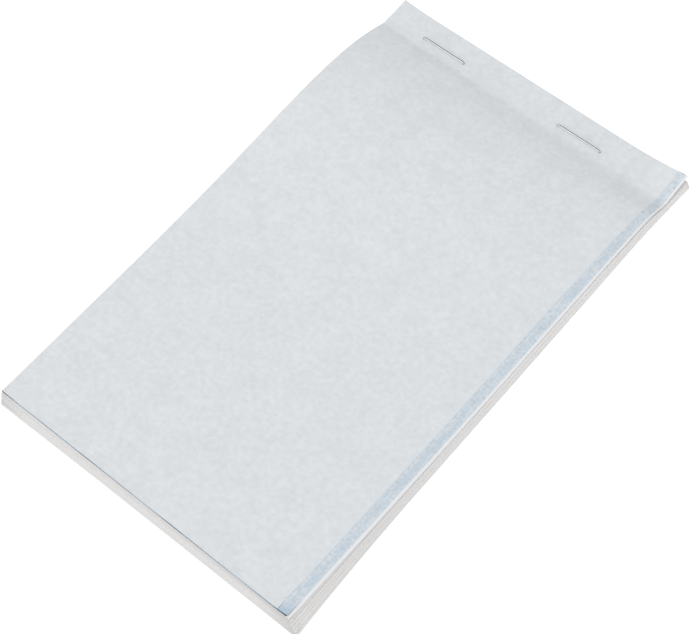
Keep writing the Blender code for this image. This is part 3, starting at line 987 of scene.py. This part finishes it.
class ORDERPAD_OT_staples(Operator):
    """Bend both staples from round wire."""

    bl_idname = "order_pad.staples"
    bl_label = "Staples"

    def half_path(self, sizes, low, high):
        """Middle of the wire from the crown to the clinched end, as (x, z) right of the staple's middle."""
        radius = sizes.wire_diameter / 2
        leg = (high.x - low.x) / 2 - radius
        bend = sizes.staple_bend
        inner = leg - bend
        centres = ((high.z - radius - bend, 90, 0), (low.z + radius + bend, 0, -90))
        path = []
        for height, start, end in centres:
            for step in range(BEND_STEPS + 1):
                angle = math.radians(mix(start, end, step / BEND_STEPS))
                path.append((inner + bend * math.cos(angle), height + bend * math.sin(angle)))
        return path + [(leg - sizes.clinch_length, low.z + radius)]

    def wire(self, sizes, low, high):
        """The staple's mesh: rings along its path, with both ends cut on the slant."""
        half = self.half_path(sizes, low, high)
        path = [Vector((-x, 0, z)) for x, z in reversed(half)] + [Vector((x, 0, z)) for x, z in half]
        middle = Vector(((low.x + high.x) / 2, (low.y + high.y) / 2, 0))
        radius = sizes.wire_diameter / 2
        shell = bmesh.new()
        rings = []
        for n, centre in enumerate(path):
            along = (path[min(n + 1, len(path) - 1)] - path[max(n - 1, 0)]).normalized()
            out = along.cross(Vector((0, 1, 0)))
            slant = {0: WIRE_SLANT, len(path) - 1: -WIRE_SLANT}.get(n, 0.0)
            ring = []
            for side in range(WIRE_SIDES):
                angle = math.tau * side / WIRE_SIDES
                offset = Vector((0, math.cos(angle), 0)) + out * math.sin(angle)
                slide = along * slant * math.sin(angle)
                ring.append(shell.verts.new(middle + centre + radius * (offset + slide)))
            rings.append(ring)
        for before, after in zip(rings, rings[1:]):
            for side in range(WIRE_SIDES):
                then = (side + 1) % WIRE_SIDES
                shell.faces.new((before[side], before[then], after[then], after[side])).smooth = True
        for cap in (rings[0], rings[-1]):
            tip = shell.faces.new(cap)
            for edge in tip.edges:
                edge.smooth = False
        bmesh.ops.recalc_face_normals(shell, faces=shell.faces)
        return shell

    def execute(self, context):
        sizes, colours = context.scene.order_pad_sizes, context.scene.order_pad_colours
        for node, box in STAPLE_BOXES.items():
            obj = piece_from(self.wire(sizes, *box), f"{node}_wire", [finish(staple_steel, colours)])
            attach(obj, "pad_base")
            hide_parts(node)
        return {"FINISHED"}


class ORDERPAD_OT_section_stubs(Operator):
    """Stack the held ends of the block's leaves."""

    bl_idname = "order_pad.section_stubs"
    bl_label = "Section Stubs"

    def execute(self, context):
        block, colours = block_and_colours(context)
        finishes = [finish(leaf_paper, colours), finish(cut_edge, colours)]
        for section in range(len(SECTION_BODIES)):
            node = f"stub_{section + 1}"
            shell = bmesh.new()
            first = section * LEAVES_PER_SECTION
            for level in range(first, first + LEAVES_PER_SECTION):
                stub_rows(block, shell, level, STUB_COLUMNS)
            obj = pierced(piece_from(shell, f"{node}_paper", finishes), block.sizes)
            note_tint(obj, block.tints[first])
            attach(obj, "pad_base")
            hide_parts(node)
        return {"FINISHED"}


class ORDERPAD_OT_section_leaves(Operator):
    """Lay the free leaves of the block, section by section."""

    bl_idname = "order_pad.section_leaves"
    bl_label = "Section Leaves"

    def execute(self, context):
        block, colours = block_and_colours(context)
        finishes = [finish(maker, colours) for maker in (leaf_paper, cut_edge, thumbed_and_shaded_edge)]
        for level in range(LEAF_COUNT):
            node = f"leaf_{level + 1:02d}"
            leaf = free_leaf(
                block,
                level,
                node,
                finishes,
                LEAF_COLUMNS,
                LEAF_ROWS,
                slots=(0, 0, 1, 2),
            )
        return {"FINISHED"}


class ORDERPAD_OT_duplicate_leaf(Operator):
    """Lay the duplicate leaf, which takes the copy."""

    bl_idname = "order_pad.duplicate_leaf"
    bl_label = "Duplicate Leaf"

    def execute(self, context):
        block, colours = block_and_colours(context)
        finishes = [finish(leaf_paper, colours), finish(cut_edge, colours)]
        level = DUPLICATE_LEVEL
        leaf = free_leaf(
            block, level, "duplicate_leaf", finishes, TOP_COLUMNS, TOP_ROWS
        )
        stub = held_stub(block, level, "duplicate_stub", finishes)
        return {"FINISHED"}


class ORDERPAD_OT_carbon_sheet(Operator):
    """Lay the carbon sheet, coated side down."""

    bl_idname = "order_pad.carbon_sheet"
    bl_label = "Carbon Sheet"

    def execute(self, context):
        block, colours = block_and_colours(context)
        finishes = [finish(carbon_tissue, colours), finish(carbon_ink, colours)]
        level = CARBON_LEVEL
        slots = (0, 1, 0, 1)
        leaf = free_leaf(
            block,
            level,
            "carbon_sheet",
            finishes,
            TOP_COLUMNS,
            TOP_ROWS,
            slots,
            ink_edge(block, INK_SEED_END, INK_AND_SHADOW_CORNER_END),
        )
        ink = ink_edge(block, INK_SEED_EDGE, INK_CORNER_EDGE)
        stub = held_stub(block, level, "carbon_stub", finishes, slots, ink)
        return {"FINISHED"}


class ORDERPAD_OT_top_leaf(Operator):
    """Lay the top leaf, which is written on."""

    bl_idname = "order_pad.top_leaf"
    bl_label = "Top Leaf"

    def execute(self, context):
        block, colours = block_and_colours(context)
        finishes = [finish(thin_paper, colours), finish(thin_paper, colours)]
        leaf = free_leaf(block, TOP_LEVEL, "top_leaf", finishes, TOP_COLUMNS, TOP_ROWS)
        stub = held_stub(block, TOP_LEVEL, "top_leaf_stub", finishes)
        return {"FINISHED"}


class ORDERPAD_OT_stage(Operator):
    """Set the floor, the lights and the camera."""

    bl_idname = "order_pad.stage"
    bl_label = "Stage"

    def floor(self):
        """A white sweep that glows, as one lit from all sides does."""
        bpy.ops.mesh.primitive_plane_add(size=FLOOR_SIZE, location=(0, 0, -FLOOR_DROP))
        obj = bpy.context.object
        obj.name = "floor"
        made, _, shader = new_finish("white_sweep", 0.9)
        shader.inputs["Base Color"].default_value = linear(FLOOR_GREY)
        shader.inputs["Emission Color"].default_value = (1, 1, 1, 1)
        shader.inputs["Emission Strength"].default_value = FLOOR_GLOW
        obj.data.materials.append(made)

    def lights(self, scene):
        """A light tent, a little brighter in front, and one large soft lamp."""
        world = bpy.data.worlds.new("light_tent")
        world.use_nodes = True
        tree = world.node_tree
        towards = add_node(tree, "ShaderNodeTexCoord").outputs["Generated"]
        split = add_node(tree, "ShaderNodeSeparateXYZ", {}, {"Vector": towards})
        glow = add_node(
            tree,
            "ShaderNodeMath",
            {"operation": "MULTIPLY_ADD", 1: TENT_FALL, 2: TENT_GLOW},
            {0: split.outputs["Y"]},
        )
        # A dark flag behind the pad, which only reflections see: the far side of the wire is dark
        flagged = add_node(
            tree,
            "ShaderNodeMapRange",
            {"From Min": FLAG_STARTS, "From Max": FLAG_FULL, "To Min": FLAG_BRIGHT, "To Max": FLAG_DARK},
            {"Value": split.outputs["Y"]},
        )
        path = add_node(tree, "ShaderNodeLightPath")
        strength = add_node(
            tree,
            "ShaderNodeMix",
            {},
            {0: path.outputs["Is Glossy Ray"], 2: glow.outputs[0], 3: flagged.outputs[0]},
        )
        tree.links.new(strength.outputs[0], tree.nodes["Background"].inputs["Strength"])
        tree.nodes["Background"].inputs["Color"].default_value = (1, 1, 1, 1)
        scene.world = world
        key = bpy.data.lights.new("key_softbox", "AREA")
        key.shape = "DISK"
        key.size = KEY_SIZE
        key.energy = KEY_WATTS
        obj = bpy.data.objects.new("key_softbox", key)
        # A flag keeps its glint off the wire
        obj.visible_glossy = False
        scene.collection.objects.link(obj)
        obj.location = KEY_PLACE
        obj.rotation_euler = (-KEY_PLACE).to_track_quat("-Z", "Y").to_euler()

    def camera(self, scene):
        """Stands the camera where the photograph was taken from."""
        azimuth = math.radians(CAMERA_AZIMUTH)
        elevation = math.radians(CAMERA_ELEVATION)
        roll = math.radians(CAMERA_ROLL)
        flat = math.cos(elevation)
        back = Vector((math.sin(azimuth) * flat, -math.cos(azimuth) * flat, math.sin(elevation)))
        right = Vector((0, 0, 1)).cross(back).normalized()
        up = back.cross(right)
        across = right * math.cos(roll) - up * math.sin(roll)
        upward = right * math.sin(roll) + up * math.cos(roll)
        eye = back * CAMERA_DISTANCE - across * CAMERA_OFFSET[0] + upward * CAMERA_OFFSET[1]
        lens = bpy.data.cameras.new("photo_camera")
        lens.sensor_width = SENSOR_WIDTH
        lens.lens = FOCAL_PIXELS * SENSOR_WIDTH / PHOTO_WIDTH
        lens.clip_start = 10 * MM
        obj = bpy.data.objects.new("photo_camera", lens)
        scene.collection.objects.link(obj)
        turn = Matrix((across, upward, back)).transposed().to_4x4()
        obj.matrix_world = Matrix.Translation(eye) @ turn
        scene.camera = obj

    def execute(self, context):
        self.floor()
        self.lights(context.scene)
        self.camera(context.scene)
        context.scene.view_settings.view_transform = "Standard"
        return {"FINISHED"}


PIECES = (
    ORDERPAD_OT_backing_card,
    ORDERPAD_OT_staples,
    ORDERPAD_OT_section_stubs,
    ORDERPAD_OT_section_leaves,
    ORDERPAD_OT_duplicate_leaf,
    ORDERPAD_OT_carbon_sheet,
    ORDERPAD_OT_top_leaf,
    ORDERPAD_OT_stage,
)


class ORDERPAD_PT_pieces(Panel):
    """Lists the pieces of the order pad."""

    bl_label = "Order Pad"
    bl_space_type = "VIEW_3D"
    bl_region_type = "UI"
    bl_category = "Order Pad"

    def draw(self, context):
        for piece in PIECES:
            self.layout.operator(piece.bl_idname)
        for group in (context.scene.order_pad_sizes, context.scene.order_pad_colours):
            for name in group.__annotations__:
                self.layout.prop(group, name)


CLASSES = (OrderPadSizes, OrderPadColours, *PIECES, ORDERPAD_PT_pieces)


def register():
    """Registers the classes, and puts the sizes and colours on the scene."""
    for made in CLASSES:
        bpy.utils.register_class(made)
    bpy.types.Scene.order_pad_sizes = PointerProperty(type=OrderPadSizes)
    bpy.types.Scene.order_pad_colours = PointerProperty(type=OrderPadColours)


def unregister():
    """Takes them away again."""
    del bpy.types.Scene.order_pad_colours
    del bpy.types.Scene.order_pad_sizes
    for made in reversed(CLASSES):
        bpy.utils.unregister_class(made)


def main():
    """Makes every piece in order."""
    register()
    for piece in PIECES:
        group, name = piece.bl_idname.split(".")
        getattr(getattr(bpy.ops, group), name)()


if __name__ == "__main__":
    main()
